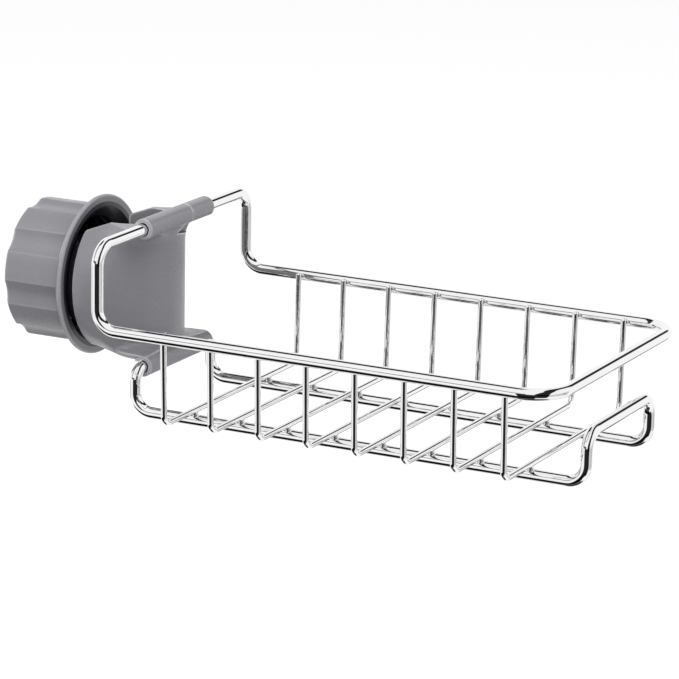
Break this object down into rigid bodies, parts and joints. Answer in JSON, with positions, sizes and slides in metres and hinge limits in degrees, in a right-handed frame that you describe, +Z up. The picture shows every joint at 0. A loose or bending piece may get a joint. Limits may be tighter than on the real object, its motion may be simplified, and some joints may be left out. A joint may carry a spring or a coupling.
{
  "type": "sink caddy",
  "caption": "Wire basket for a sink, held on the spout or pipe of a tap by a grey plastic clamp with a fluted screw knob.",
  "frame": {"origin": "where the axis of the gripped pipe crosses the axis of the knob", "axes": "+Z up along the pipe, +X along the knob's axis from the knob towards the basket, +Y across the basket"},
  "size_m": [0.2268, 0.1086, 0.0696],
  "materials": {
    "bright_steel": "polished stainless steel wire",
    "grey_plastic": "satin moulded plastic",
    "knob_plastic": "satin moulded plastic",
    "inner_plastic": "plain moulded plastic",
    "black_rubber": "matt soft rubber"
  },
  "bodies": {
    "basket": {"rim_wire": "bright_steel", "base_wire": "bright_steel", "cross_wire_1": "bright_steel", "cross_wire_2": "bright_steel", "cross_wire_3": "bright_steel", "cross_wire_4": "bright_steel", "cross_wire_5": "bright_steel", "cross_wire_6": "bright_steel", "cross_wire_7": "bright_steel", "cross_wire_8": "bright_steel", "clamp_body": "grey_plastic", "saddle_pad": "black_rubber"},
    "pressure": {"pressure_block": "inner_plastic", "pressure_pad": "black_rubber"},
    "knob": {"knob": "knob_plastic"}
  },
  "joints": [
    {"name": "pad_travel", "type": "slide", "parent": "basket", "child": "pressure", "axis": [1, 0, 0], "range_m": [-0.006, 0.0026]},
    {"name": "knob_turn", "type": "hinge", "parent": "pressure", "child": "knob", "pos_m": [0, 0, 0], "axis": [1, 0, 0], "range_deg": [-541, 235]}
  ],
  "couplings": [
    {"joint": "knob_turn", "follows": "pad_travel", "rad_per_m": 1570.8}
  ]
}
